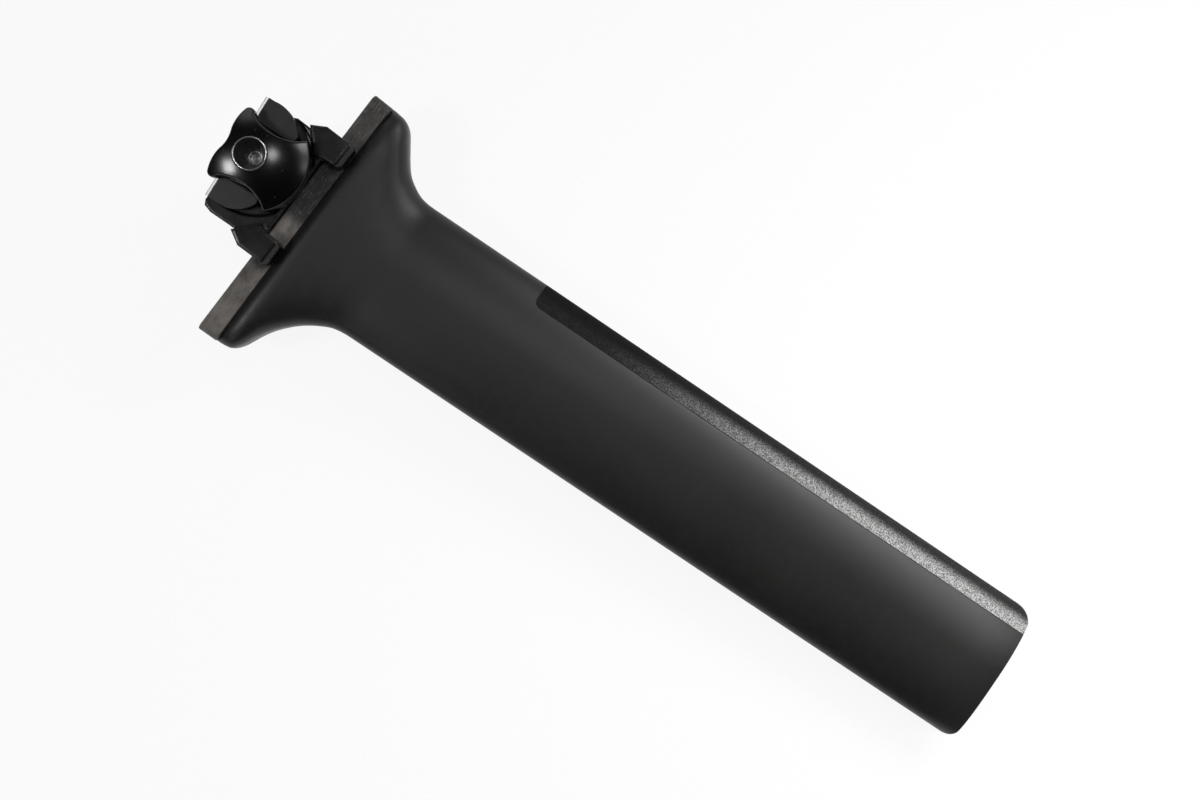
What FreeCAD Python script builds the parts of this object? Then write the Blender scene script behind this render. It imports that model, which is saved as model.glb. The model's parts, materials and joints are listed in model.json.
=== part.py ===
"""Aero bicycle seatpost: a hollow blade that flares into a dovetail rail, and a one-bolt saddle clamp.

Three frames are used, all in millimetres.
Blade frame: +X forward, +Y to the rider's left, +Z up along the blade, origin on top of the rail
above the middle of the blade's chord.
Rail frame: the blade frame turned nose down with the rail, origin on the rail under the carriage.
Bolt frame: the rail frame moved to the cross bolt and turned nose up with the saddle.
Distances off the mid-plane are counted to the right, towards -Y, and the left pieces are mirror images.
The finished part lies on its left side, on the left jaw's nut and the blade's end.
"""
import FreeCAD, Part
import Sketcher
import math
import os

from FreeCAD import Placement, Rotation, Vector


SIZES = [
    ("blade_reach", 344, "rail top to the cut end, along the middle of the chord"),
    ("chord_front", 31.1, "leading edge ahead of the middle of the chord"),
    ("chord_rear", 31.1, "trailing edge behind the middle of the chord"),
    ("thickest_at", 1.5, "thickest place, ahead of the middle of the chord"),
    ("blade_half", 11, "half of the blade's thickness"),
    ("blade_wall", 2.2, "laminate thickness of the blade"),
    ("tail_taper", 0.15, "share of the thickness lost at the trailing edge"),
    ("nose_power", 2, "roundness of the leading edge along the blade"),
    ("tail_power", 4, "squareness of the trailing edge"),
    ("head_power", 4.6, "squareness of the head's ends under the rail"),
    ("end_corner_front", 6.5, "corner radius of the cut end at the leading edge, seen from the side"),
    ("end_corner_rear", 4.8, "corner radius of the cut end at the trailing edge"),
    ("flare_depth", 47, "rail top to the place where the flare starts"),
    ("head_roof", 22, "rail top to the roof of the hollow, along the blade"),
    ("rail_front", 55.1, "front end of the rail, ahead of the middle of the chord"),
    ("rail_rear", 61.1, "rear end of the rail, behind the middle of the chord"),
    ("rail_tilt", 3.35, "degrees that the rail points nose down"),
    ("rail_half", 12.5, "half of the rail's width on top"),
    ("rail_depth", 8.2, "height of the dovetail's side"),
    ("rail_undercut", 2.1, "how far each side leans in over its height"),
    ("rail_corner", 3, "corner radius of the rail's ends seen from above"),
    ("carriage_at", 4.1, "middle of the carriage ahead of the middle of the chord"),
    ("half_gap", 0.4, "half of the gap between the two carriage halves"),
    ("slide_gap", 0.3, "running gap between carriage and rail"),
    ("web_face", 8, "mid-plane to the floor of the carriage's socket"),
    ("cheek_face", 18, "mid-plane to the outer face of the carriage's cheek"),
    ("leg_face", 20.5, "mid-plane to the outer face of a leg"),
    ("leg_outer", 29, "carriage middle to the outer side of a leg"),
    ("leg_inner", 18.6, "carriage middle to the inner side of a leg"),
    ("leg_foot", 7.9, "rail top down to the end of a claw"),
    ("knee_height", 12, "rail top up to the outer end of a leg's crease"),
    ("neck_half", 24.7, "carriage middle to the narrow neck above the knee"),
    ("wing_top", 26.4, "rail top up to the top of the rear wing"),
    ("front_wing_top", 18.8, "rail top up to the top of the front wing"),
    ("foot_chamfer", 2.2, "facet at the end of a claw"),
    ("leg_round", 0.8, "edge radius of a leg's outer face"),
    ("bolt_ahead", 2.4, "cross bolt ahead of the carriage's middle"),
    ("bolt_height", 20.4, "cross bolt above the rail"),
    ("nose_up", 5.2, "degrees that the saddle clamp points nose up on the carriage"),
    ("socket_radius", 18, "radius of the carriage's socket to the tips of its teeth"),
    ("relief_radius", 22.4, "shallow step in the cheek round the socket"),
    ("relief_depth", 1.3, "depth of that step"),
    ("drum_radius", 17.6, "radius of the cradle's drum over its teeth"),
    ("tooth_depth", 0.5, "depth of a serration"),
    ("tooth_pitch", 6, "degrees from one serration to the next"),
    ("drum_inner", 8.3, "mid-plane to the inner face of the drum"),
    ("plate_inner", 18.3, "mid-plane to the inner face of a plate"),
    ("plate_face", 22.3, "mid-plane to the outer face of a plate"),
    ("bridge_face", 21.5, "mid-plane to the middle part between the plates"),
    ("plate_outer", 22.5, "bolt to the outer side of a plate"),
    ("plate_inside", 12.8, "bolt to the inner top corner of a plate"),
    ("plate_round", 13.5, "radius of a plate's lower outer side"),
    ("plate_top", 9, "bolt up to the top of the cradle"),
    ("plate_tip", 9.6, "bolt down to the tip of a plate"),
    ("saddle_rail_radius", 3.5, "radius of the saddle's rails"),
    ("saddle_rail_side", 22, "mid-plane to the middle of a saddle rail"),
    ("saddle_rail_height", 10.7, "bolt up to the middle of a saddle rail"),
    ("jaw_inner", 22.6, "mid-plane to the inner face of a jaw"),
    ("jaw_face", 31.3, "mid-plane to the flat ring round the bolt's head"),
    ("boss_radius", 6.9, "outer radius of that narrow ring, where the dome starts"),
    ("dome_radius", 42, "radius of a jaw's dome"),
    ("dome_middle", 1, "how far beside the bolt's axis the middle of that radius lies"),
    ("skirt_radius", 21.8, "bolt to the lower edge of a jaw"),
    ("skirt_wall", 1.9, "thickness of the lip along that edge"),
    ("notch_half", 4.2, "bolt to where the notch meets a hump"),
    ("notch_radius", 11.4, "radius of the notch on top of a jaw"),
    ("hump_height", 11.2, "bolt up to both ends of a hump"),
    ("hump_radius", 18, "radius of a hump"),
    ("lobe_half", 14.2, "bolt to where a hump meets the lobe's tip"),
    ("lobe_radius", 2.3, "radius of a lobe's tip"),
    ("lobe_under", 6.7, "bolt up to the underside of a lobe"),
    ("waist_radius", 19, "radius of a jaw's waist"),
    ("waist_drop", 11.7, "bolt down to the lower end of the waist"),
    ("foot_half", 16, "bolt to the corner of a jaw's foot"),
    ("jaw_round", 0.9, "edge radius of a jaw's dome"),
    ("head_proud", 0.3, "how far the bolt's head stands out of the jaw"),
    ("head_radius", 6.5, "radius of the bolt's head at its rim"),
    ("head_rim", 0.35, "width of that rim"),
    ("sleeve_radius", 4.8, "radius of the bolt's head below its cone"),
    ("cone_depth", 7.5, "length of the head's outer cone"),
    ("funnel_depth", 12.3, "rim to the floor of the funnel in the head"),
    ("funnel_radius", 2.7, "radius of the funnel at its floor"),
    ("hex_width", 4, "width of the hex socket across its flats"),
    ("hex_depth", 2.6, "depth of the hex socket"),
    ("sleeve_length", 16, "rim to the shoulder of the bolt"),
    ("shank_radius", 3, "radius of the bolt's shank"),
    ("bolt_end", 28, "mid-plane to the end of the bolt"),
    ("part_gap", 0.1, "gap round the bolt and its nut"),
]


FLARE = [
    (40, 0.6, 0.8, 0.1),
    (35, 2.7, 3.1, 0.3),
    (30, 6.1, 6.4, 0.5),
    (26, 10.7, 10.1, 0.8),
    (22, 16.1, 15.0, 1.1),
    (19, 20.0, 20.3, 1.4),
    (16.5, 22.1, 26.2, 1.6),
    (14, 23.1, 29.7, 1.8),
    (11.5, 23.5, 30.5, 1.6),
    (9.3, 23.8, 30.7, 0.6),
    (7.4, 23.9, 30.7, -1.0),
]


class Size:
    """A length or an angle: its value now, and the formula that ties it to the sheet."""

    def __init__(self, value, text):
        self.value = value
        self.text = text

    def __add__(self, other):
        return Size(self.value + plain(other), f"({self.text} + {formula(other)})")

    def __sub__(self, other):
        return Size(self.value - plain(other), f"({self.text} - {formula(other)})")

    def __mul__(self, other):
        return Size(self.value * plain(other), f"({self.text} * {formula(other)})")

    def __truediv__(self, other):
        return Size(self.value / plain(other), f"({self.text} / {formula(other)})")

    def __neg__(self):
        return Size(-self.value, f"(0 - {self.text})")


def plain(item):
    """The number behind a size or a plain number."""
    return item.value if isinstance(item, Size) else item


def formula(item):
    """The formula behind a size or a plain number."""
    return item.text if isinstance(item, Size) else str(item)


def beside(radius, across):
    """How far up a circle about the origin lies at a distance across."""
    value = math.sqrt(plain(radius) ** 2 - plain(across) ** 2)
    return Size(value, f"sqrt(({formula(radius)})^2 - ({formula(across)})^2)")


class Sizes:
    """Reads the driving dimensions back from the sheet by their names."""

    def __init__(self, sheet):
        self.sheet = sheet

    def __getattr__(self, name):
        return Size(float(self.sheet.get(name)), f"Sizes.{name}")


def write_sheet(doc):
    """Puts every driving dimension in the sheet as a plain number with an alias."""
    sheet = doc.addObject("Spreadsheet::Sheet", "Sizes")
    rows = list(SIZES)
    for number, (depth, ahead, behind, swell) in enumerate(FLARE, start=1):
        rows.append((f"flare_{number}_depth", depth, "rail top down to this section of the flare"))
        rows.append((f"flare_{number}_ahead", ahead, "how far the section reaches ahead of the blade"))
        rows.append((f"flare_{number}_behind", behind, "how far it reaches behind the blade"))
        rows.append((f"flare_{number}_swell", swell, "how much thicker than the blade it is, each side"))
    for row, (name, value, meaning) in enumerate(rows, start=1):
        sheet.set(f"A{row}", str(value))
        sheet.setAlias(f"A{row}", name)
        sheet.set(f"B{row}", meaning)
    doc.recompute()
    return Sizes(sheet)


def bind(thing, prop, size):
    """Ties a property of an object to the sheet."""
    thing.setExpression(prop, formula(size))


def arc_between(start, end, radius, bulge):
    """The short arc of a radius from start to end, bulging to the left (+1) or right (-1) of its chord."""
    chord = end - start
    left = Vector(-chord.y, chord.x, 0).normalize()
    to_centre = math.sqrt(radius ** 2 - (chord.Length / 2) ** 2)
    centre = (start + end) * 0.5 - left * (bulge * to_centre)
    return Part.Arc(start, centre + left * (bulge * radius), end)


def sketch_on(body, name, role, offset=0, across=0, up=0):
    """An empty sketch on an origin plane of the body, moved along its normal and within it."""
    sketch = body.newObject("Sketcher::SketchObject", name)
    plane = next(item for item in body.Origin.OriginFeatures if item.Role == role)
    sketch.AttachmentSupport = [(plane, "")]
    sketch.MapMode = "FlatFace"
    bind(sketch, ".AttachmentOffset.Base.x", across)
    bind(sketch, ".AttachmentOffset.Base.y", up)
    bind(sketch, ".AttachmentOffset.Base.z", offset)
    return sketch


def tie(sketch, kind, *where):
    """Adds a dimension whose value follows the sheet."""
    *elements, size = where
    place = sketch.addConstraint(Sketcher.Constraint(kind, *elements, plain(size)))
    bind(sketch, f"Constraints[{place}]", size)


def add_profile(sketch, corners):
    """A closed profile through corners (across, up) or (across, up, radius, bulge).

    The last two make an arc of the edge that leaves the corner. Each corner is tied to the sheet.
    """
    points = [Vector(plain(corner[0]), plain(corner[1]), 0) for corner in corners]
    edges = []
    for index, corner in enumerate(corners):
        start, end = points[index], points[(index + 1) % len(points)]
        if len(corner) == 4:
            curve = arc_between(start, end, plain(corner[2]), corner[3])
        else:
            curve = Part.LineSegment(start, end)
        edge = sketch.addGeometry(curve)
        first = 1 if (sketch.getPoint(edge, 1) - start).Length < 1e-6 else 2
        edges.append((edge, first, 3 - first))
    for index, (edge, first, last) in enumerate(edges):
        following = edges[(index + 1) % len(edges)]
        sketch.addConstraint(Sketcher.Constraint("Coincident", edge, last, following[0], following[1]))
        tie(sketch, "DistanceX", -1, 1, edge, first, corners[index][0])
        tie(sketch, "DistanceY", -1, 1, edge, first, corners[index][1])
        if len(corners[index]) == 4:
            tie(sketch, "Radius", edge, corners[index][2])


def add_circle(sketch, across, up, radius):
    """A circle tied to the sheet by its centre and radius."""
    centre = Vector(plain(across), plain(up), 0)
    circle = sketch.addGeometry(Part.Circle(centre, Vector(0, 0, 1), plain(radius)))
    tie(sketch, "DistanceX", -1, 1, circle, 3, across)
    tie(sketch, "DistanceY", -1, 1, circle, 3, up)
    tie(sketch, "Radius", circle, radius)


def slab(body, name, start, end, corners=None, radius=None):
    """Adds a slab of a side outline, or a disc about the bolt, between two distances off the mid-plane."""
    sketch = sketch_on(body, name + "Outline", "XZ_Plane", start)
    if corners:
        add_profile(sketch, corners)
    else:
        add_circle(sketch, 0, 0, radius)
    feature = body.newObject("PartDesign::Pad", name)
    feature.Profile = sketch
    bind(feature, "Length", end - start)
    return feature


def sink(body, name, face, floor, at, corners=None, radius=None):
    """Sinks a recess, drawn about the place at, from a face down to a floor nearer to the mid-plane."""
    sketch = sketch_on(body, name + "Outline", "XZ_Plane", face, *at)
    if corners:
        add_profile(sketch, corners)
    else:
        add_circle(sketch, 0, 0, radius)
    feature = body.newObject("PartDesign::Pocket", name)
    feature.Profile = sketch
    bind(feature, "Length", face - floor)
    return feature


def cut_along(body, name, corners=None, circle=None):
    """Cuts a channel of one section, drawn across the rail, through the whole length."""
    sketch = sketch_on(body, name + "Section", "YZ_Plane")
    if corners:
        add_profile(sketch, corners)
    else:
        add_circle(sketch, *circle)
    feature = body.newObject("PartDesign::Pocket", name)
    feature.Profile = sketch
    feature.Type = "ThroughAll"
    feature.Midplane = True
    return feature


def turn(body, name, kind, corners):
    """Revolves or grooves a section, drawn across the rail, about the cross bolt."""
    sketch = sketch_on(body, name + "Section", "YZ_Plane")
    add_profile(sketch, corners)
    feature = body.newObject(kind, name)
    feature.Profile = sketch
    feature.ReferenceAxis = (sketch, ["H_Axis"])
    feature.Angle = 360
    return feature


def repeat_round(body, name, feature, sizes):
    """Repeats a serration all round the bolt, one pitch apart."""
    pattern = body.newObject("PartDesign::PolarPattern", name)
    pattern.Originals = [feature]
    pattern.Axis = (feature.Profile[0], ["N_Axis"])
    pattern.Angle = 360
    bind(pattern, "Occurrences", Size(360, "360") / sizes.tooth_pitch)
    body.Tip = pattern
    return pattern


def soften(doc, body, kind, name, size, wanted):
    """Rounds or bevels the edges that a test picks out on the body's last feature."""
    doc.recompute()
    base = body.Tip
    names = [f"Edge{index}" for index, edge in enumerate(base.Shape.Edges, start=1) if wanted(edge)]
    feature = body.newObject("PartDesign::" + kind, name)
    feature.Base = (base, names)
    bind(feature, "Radius" if kind == "Fillet" else "Size", size)
    return feature


def mirrored(corners):
    """The same outline, arcs included, on the other side of the upright axis."""
    turned = []
    for index in reversed(range(len(corners))):
        across, up = corners[index][:2]
        turned.append((-across, up, *corners[index - 1][2:]))
    return turned


def new_body(doc, name):
    """An empty body whose label names its file."""
    body = doc.addObject("PartDesign::Body", name)
    body.Label = name
    return body


def rail_frame(sizes):
    """The rail frame in the blade frame."""
    return Placement(Vector(sizes.carriage_at.value, 0, 0), Rotation(Vector(0, 1, 0), sizes.rail_tilt.value))


def bolt_frame(sizes):
    """The bolt frame in the blade frame."""
    raised = Placement(Vector(sizes.bolt_ahead.value, 0, sizes.bolt_height.value),
                       Rotation(Vector(0, 1, 0), -sizes.nose_up.value))
    return rail_frame(sizes) * raised


def section_wire(sizes, number, inset=0.0):
    """One closed section: the blade's own where the flare starts, or the flare's section of that number.

    The sections lean with the rail and get squarer towards it. inset moves the curve inwards all round.
    """
    depth, front, rear, half = sizes.flare_depth, sizes.chord_front, sizes.chord_rear, sizes.blade_half
    if number:
        depth = getattr(sizes, f"flare_{number}_depth")
        front = front + getattr(sizes, f"flare_{number}_ahead")
        rear = rear + getattr(sizes, f"flare_{number}_behind")
        half = half + getattr(sizes, f"flare_{number}_swell")
    top = getattr(sizes, f"flare_{len(FLARE)}_depth").value
    rise = (sizes.flare_depth.value - depth.value) / (sizes.flare_depth.value - top)
    front, rear, half = front.value - inset, rear.value - inset, half.value - inset
    middle = sizes.thickest_at.value * (1 - rise) + (front - rear) / 2 * rise
    nose = sizes.nose_power.value * (1 - rise) + sizes.head_power.value * rise
    tail = sizes.tail_power.value * (1 - rise) + sizes.head_power.value * rise
    taper = sizes.tail_taper.value * (1 - rise)
    points = []
    count = 24
    for step in range(count):
        angle = 2 * math.pi * step / count
        along, aside = math.cos(angle), math.sin(angle)
        power = nose if along >= 0 else tail
        reach = abs(along) ** (2 / power)
        width = half * math.copysign(abs(aside) ** (2 / power), aside)
        if along >= 0:
            points.append(Vector(middle + (front - middle) * reach, width, 0))
        else:
            points.append(Vector(middle - (middle + rear) * reach, width * (1 - taper * reach ** 2), 0))
    curve = Part.BSplineCurve()
    curve.interpolate(points, PeriodicFlag=True)
    wire = Part.Wire([curve.toShape()])
    tilt = sizes.rail_tilt.value * rise
    shift = sizes.carriage_at.value * math.tan(math.radians(tilt))
    wire.Placement = Placement(Vector(0, 0, shift - depth.value), Rotation(Vector(0, 1, 0), tilt))
    return wire


def lowest_face(solid):
    """The flat cap at the lower end of a loft."""
    return min(solid.Faces, key=lambda face: face.CenterOfMass.z)


def corner_waste(sizes, side, edge, radius):
    """What a corner radius takes off the blade's end: side is 1 at the leading edge, -1 at the trailing edge."""
    deep, over = 2 * sizes.blade_half.value, 0.06
    middle = Vector(side * (edge - radius + over), deep / 2, radius - over - sizes.blade_reach.value)
    block = Part.makeBox(radius + 2, deep, radius + 2, middle - Vector(0, deep, radius + 2))
    if side < 0:
        block.translate(Vector(-radius - 2, 0, 0))
    return block.cut(Part.makeCylinder(radius, deep, middle, Vector(0, -1, 0)))


def build_post(doc, sizes):
    """The hollow blade with its flared head and the dovetail rail, moulded in one piece."""
    reach, start = sizes.blade_reach.value, sizes.flare_depth.value
    wall = sizes.blade_wall.value
    flare = Part.makeLoft([section_wire(sizes, number) for number in range(len(FLARE) + 1)], True, False)
    blade = lowest_face(flare).extrude(Vector(0, 0, start - reach))
    hollow = [number for number in range(len(FLARE) + 1) if number == 0
              or getattr(sizes, f"flare_{number}_depth").value >= sizes.head_roof.value]
    roof = Part.makeLoft([section_wire(sizes, number, wall) for number in hollow], True, False)
    cavity = lowest_face(roof).extrude(Vector(0, 0, start - reach - wall))

    half, low = sizes.rail_half.value, sizes.rail_half.value - sizes.rail_undercut.value
    rear = -(sizes.rail_rear.value + sizes.carriage_at.value)
    deep = sizes.rail_depth.value
    section = Part.makePolygon([Vector(rear, -half, 0), Vector(rear, half, 0), Vector(rear, low, -deep),
                                Vector(rear, -low, -deep), Vector(rear, -half, 0)])
    rail = Part.Face(section).extrude(Vector(sizes.rail_front.value + sizes.rail_rear.value, 0, 0))
    uprights = [edge for edge in rail.Edges if abs(edge.tangentAt(edge.FirstParameter).z) > 0.9]
    rail = rail.makeFillet(sizes.rail_corner.value, uprights)
    rail.Placement = rail_frame(sizes)

    post = doc.addObject("Part::Feature", "post_body")
    post.Label = "post_body"
    corners = [corner_waste(sizes, 1, sizes.chord_front.value, sizes.end_corner_front.value),
               corner_waste(sizes, -1, sizes.chord_rear.value, sizes.end_corner_rear.value)]
    post.Shape = blade.fuse([flare, rail]).cut([cavity, roof, *corners]).removeSplitter()
    return post


def leg_outline(s):
    """Side outline of the front leg, from its diagonal crease down to the claw."""
    return [
        (s.leg_outer - 3.4, s.knee_height - 0.6),
        (s.leg_inner - 1.9, s.knee_height - 9.3),
        (s.leg_inner - 0.4, s.knee_height - 12.9),
        (s.leg_inner, -s.leg_foot + 1.3),
        (s.leg_inner + 1.2, -s.leg_foot),
        (s.leg_outer - 1.2, -s.leg_foot),
        (s.leg_outer, -s.leg_foot + 1.3),
        (s.leg_outer, s.knee_height - 6.4),
        (s.leg_outer - 0.9, s.knee_height - 4.9),
    ]


def build_carriage(doc, s):
    """The right half of the carriage: a socket for the drum, two legs with claws, and two wings."""
    body = new_body(doc, "carriage_right")
    bolt = (s.bolt_ahead, s.bolt_height)
    slab(body, "Cheek", s.half_gap, s.cheek_face, [
        (-s.neck_half, s.slide_gap),
        (-s.neck_half, s.knee_height + 1.2),
        (-s.neck_half - 0.4, s.wing_top - 4.4),
        (-s.neck_half + 0.5, s.wing_top - 1.1),
        (-s.neck_half + 2.5, s.wing_top),
        (s.neck_half - 12.3, s.wing_top),
        (s.neck_half - 4.2, s.front_wing_top),
        (s.neck_half - 0.6, s.front_wing_top - 0.3),
        (s.neck_half, s.front_wing_top - 1.8),
        (s.neck_half, s.slide_gap),
    ])
    leg_root = s.rail_half - s.rail_undercut
    slab(body, "FrontLeg", leg_root, s.leg_face, leg_outline(s))
    slab(body, "RearLeg", leg_root, s.leg_face, mirrored(leg_outline(s)))
    sink(body, "Relief", s.cheek_face, s.cheek_face - s.relief_depth, bolt, radius=s.relief_radius)
    sink(body, "Socket", s.cheek_face, s.web_face, bolt, radius=s.socket_radius)
    sink(body, "BoltHole", s.web_face, Size(0, "0"), bolt, radius=s.shank_radius + 0.3)
    under = s.rail_half - s.rail_undercut + s.slide_gap
    cut_along(body, "Dovetail", [
        (s.half_gap, s.slide_gap),
        (-s.rail_half - s.slide_gap, s.slide_gap),
        (-under, -s.rail_depth),
        (-under, -s.rail_depth - 2),
        (s.half_gap, -s.rail_depth - 2),
    ])
    tooth = sink(body, "SocketTooth", s.cheek_face, s.web_face, bolt, [
        (s.socket_radius - 0.3, s.tooth_depth * 1.6),
        (s.socket_radius - 0.3, -s.tooth_depth * 1.6),
        (s.socket_radius + s.tooth_depth, Size(0, "0")),
    ])
    doc.recompute()
    repeat_round(body, "SocketTeeth", tooth, s)
    cut_along(body, "ClawFacets", [
        (-s.leg_face - 1, s.foot_chamfer - s.leg_foot + 1),
        (-s.leg_face - 1, -s.leg_foot - 1),
        (-s.leg_face + s.foot_chamfer + 1, -s.leg_foot - 1),
    ])
    soften(doc, body, "Fillet", "LegEdges", s.leg_round, lambda edge: on_leg_face(edge, s))
    return body


def on_leg_face(edge, s):
    """True for an edge round a leg's outer face."""
    return all(abs(vertex.Y + s.leg_face.value) < 1e-4 for vertex in edge.Vertexes)


def build_cradle(doc, s):
    """The right cradle: a drum that turns in the socket and two plates that carry the saddle rail."""
    body = new_body(doc, "cradle_right")
    slab(body, "Drum", s.drum_inner, s.plate_inner, radius=s.drum_radius)
    tooth = sink(body, "DrumTooth", s.plate_inner, s.drum_inner, (0, 0), [
        (s.drum_radius + 0.3, s.tooth_depth * 1.6),
        (s.drum_radius + 0.3, -s.tooth_depth * 1.6),
        (s.drum_radius - s.tooth_depth, Size(0, "0")),
    ])
    doc.recompute()
    repeat_round(body, "DrumTeeth", tooth, s)
    plate = [
        (s.plate_inside, s.plate_top),
        (s.plate_outer, s.plate_top),
        (s.plate_outer, s.plate_top - 4.5, s.plate_round, 1),
        (s.plate_outer - 6.6, -s.plate_tip, 2.2, 1),
        (s.plate_inside - 0.4, -s.plate_tip + 2),
    ]
    slab(body, "FrontPlate", s.plate_inner, s.plate_face, plate)
    slab(body, "RearPlate", s.plate_inner, s.plate_face, mirrored(plate))
    slab(body, "Bridge", s.plate_inner, s.bridge_face, [
        (-s.plate_inside - 0.5, s.plate_top),
        (-s.plate_inside + 2, -s.plate_tip + 3),
        (s.plate_inside - 2, -s.plate_tip + 3),
        (s.plate_inside + 0.5, s.plate_top),
    ])
    cut_along(body, "DrumTop", [
        (Size(0, "0"), s.plate_top),
        (Size(0, "0"), s.drum_radius + 1),
        (-s.plate_face - 1, s.drum_radius + 1),
        (-s.plate_face - 1, s.plate_top),
    ])
    cut_along(body, "SaddleRail", circle=(-s.saddle_rail_side, s.saddle_rail_height, s.saddle_rail_radius))
    shoulder = s.jaw_face + s.head_proud - s.sleeve_length - 0.3
    sink(body, "SleeveBore", s.bridge_face, shoulder, (0, 0), radius=s.sleeve_radius + s.part_gap)
    sink(body, "ShankBore", s.bridge_face, s.drum_inner, (0, 0), radius=s.shank_radius + 0.3)
    return body


def build_jaw(doc, s):
    """The right outer clamp: a domed jaw with two lobes over the saddle rail and a lipped foot."""
    body = new_body(doc, "outer_clamp_right")
    corner_drop = beside(s.skirt_radius, s.foot_half)
    outline = [
        (-s.notch_half, s.hump_height, s.notch_radius, -1),
        (s.notch_half, s.hump_height, s.hump_radius, 1),
        (s.lobe_half, s.hump_height - 0.2, s.lobe_radius, 1),
        (s.lobe_half - 0.8, s.lobe_under, s.waist_radius, -1),
        (s.foot_half - 2.5, -s.waist_drop),
        (s.foot_half, -corner_drop, s.skirt_radius, 1),
        (-s.foot_half, -corner_drop),
        (-s.foot_half + 2.5, -s.waist_drop, s.waist_radius, -1),
        (-s.lobe_half + 0.8, s.lobe_under, s.lobe_radius, 1),
        (-s.lobe_half, s.hump_height - 0.2, s.hump_radius, 1),
    ]
    slab(body, "Jaw", s.jaw_inner, s.jaw_face, outline)
    inner = s.skirt_radius - s.skirt_wall
    outer_end, inner_end = s.foot_half - 0.9, s.foot_half - 1.6
    slab(body, "Lip", s.cheek_face + 0.3, s.jaw_inner + 0.5, [
        (outer_end, -beside(s.skirt_radius, outer_end), s.skirt_radius, 1),
        (-outer_end, -beside(s.skirt_radius, outer_end)),
        (-inner_end, -beside(inner, inner_end), inner, -1),
        (inner_end, -beside(inner, inner_end)),
    ])
    reach = s.skirt_radius + 1.7
    dome_edge = (s.jaw_face - beside(s.dome_radius, s.boss_radius - s.dome_middle)
                 + beside(s.dome_radius, reach - s.dome_middle))
    turn(body, "Dome", "PartDesign::Groove", [
        (-s.jaw_face, -s.boss_radius, s.dome_radius, -1),
        (-dome_edge, -reach),
        (-s.jaw_face - 2, -reach),
        (-s.jaw_face - 2, -s.boss_radius),
    ])
    soften(doc, body, "Fillet", "DomeEdges", s.jaw_round, lambda edge: on_dome_rim(edge, s))
    cut_along(body, "SaddleRail", circle=(-s.saddle_rail_side, s.saddle_rail_height, s.saddle_rail_radius))
    cone_end = s.jaw_face + s.head_proud - s.cone_depth
    turn(body, "Seat", "PartDesign::Groove", [
        (-s.jaw_face - s.head_proud, Size(0, "0")),
        (-s.jaw_face - s.head_proud, s.head_radius + s.part_gap),
        (-cone_end, s.sleeve_radius + s.part_gap),
        (-s.jaw_inner + 1, s.sleeve_radius + s.part_gap),
        (-s.jaw_inner + 1, Size(0, "0")),
    ])
    return body


def on_dome_rim(edge, s):
    """True for an edge where the dome meets the jaw's side walls."""
    box = edge.BoundBox
    off_boss = max(math.hypot(vertex.X, vertex.Z) for vertex in edge.Vertexes) > s.boss_radius.value + 1
    return off_boss and box.YMax < -s.jaw_inner.value - 0.8 and len(edge.Vertexes) == 2 and box.YLength < 9


def build_bolt(doc, s):
    """The cross bolt: a funnel-shaped head with a hex socket at its bottom, and a long shank."""
    body = new_body(doc, "clamp_bolt")
    rim = s.jaw_face + s.head_proud
    floor = rim - s.funnel_depth
    turn(body, "TurnedBolt", "PartDesign::Revolution", [
        (-rim, s.head_radius - s.head_rim),
        (-rim, s.head_radius),
        (s.cone_depth - rim, s.sleeve_radius),
        (s.sleeve_length - rim, s.sleeve_radius),
        (s.sleeve_length - rim, s.shank_radius),
        (s.bolt_end, s.shank_radius),
        (s.bolt_end, Size(0, "0")),
        (-floor, Size(0, "0")),
        (-floor, s.funnel_radius),
    ])
    corner, flat = s.hex_width / math.sqrt(3), s.hex_width / 2
    sink(body, "HexSocket", floor, floor - s.hex_depth, (0, 0), [
        (corner, Size(0, "0")),
        (corner / 2, flat),
        (-corner / 2, flat),
        (-corner, Size(0, "0")),
        (-corner / 2, -flat),
        (corner / 2, -flat),
    ])
    return body


def build_nut(doc, s):
    """The nut in the left jaw, with the same cone as the bolt's head and a clear bore for the shank."""
    body = new_body(doc, "clamp_nut")
    rim = s.jaw_face + s.head_proud
    bore = s.shank_radius + s.part_gap
    turn(body, "TurnedNut", "PartDesign::Revolution", [
        (rim, bore),
        (rim, s.head_radius),
        (rim - s.cone_depth, s.sleeve_radius),
        (rim - s.sleeve_length, s.sleeve_radius),
        (rim - s.sleeve_length, bore),
    ])
    return body


def lying(sizes):
    """The turn that lays the blade frame on its left side, head raised until nut and blade end touch down."""
    flat = Rotation(Vector(0, 1, 0), Vector(0, 0, -1), Vector(-1, 0, 0), "XYZ")
    nut_edge = bolt_frame(sizes).Base.z - sizes.head_radius.value
    rise = sizes.jaw_face.value + sizes.head_proud.value - sizes.blade_half.value
    slope = math.degrees(math.atan(rise / (sizes.blade_reach.value + nut_edge)))
    return Placement(Vector(), Rotation(Vector(0, 1, 0), slope) * flat)


def mirror_left(doc, source, name):
    """The left twin of a right piece, mirrored in the part's mid-plane."""
    twin = doc.addObject("Part::Mirroring", name)
    twin.Label = name
    twin.Source = source
    return twin


def check(doc, parts):
    """Stops when an object failed or a sub-part's shape isn't one valid solid."""
    for item in doc.Objects:
        if "Invalid" in item.State or "Error" in item.State:
            raise RuntimeError(f"{item.Name} failed: {item.State}")
    for part in parts:
        shape = part.Shape
        if shape.isNull() or not shape.isValid() or len(shape.Solids) != 1:
            raise RuntimeError(f"{part.Label} has no single valid solid")


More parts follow.
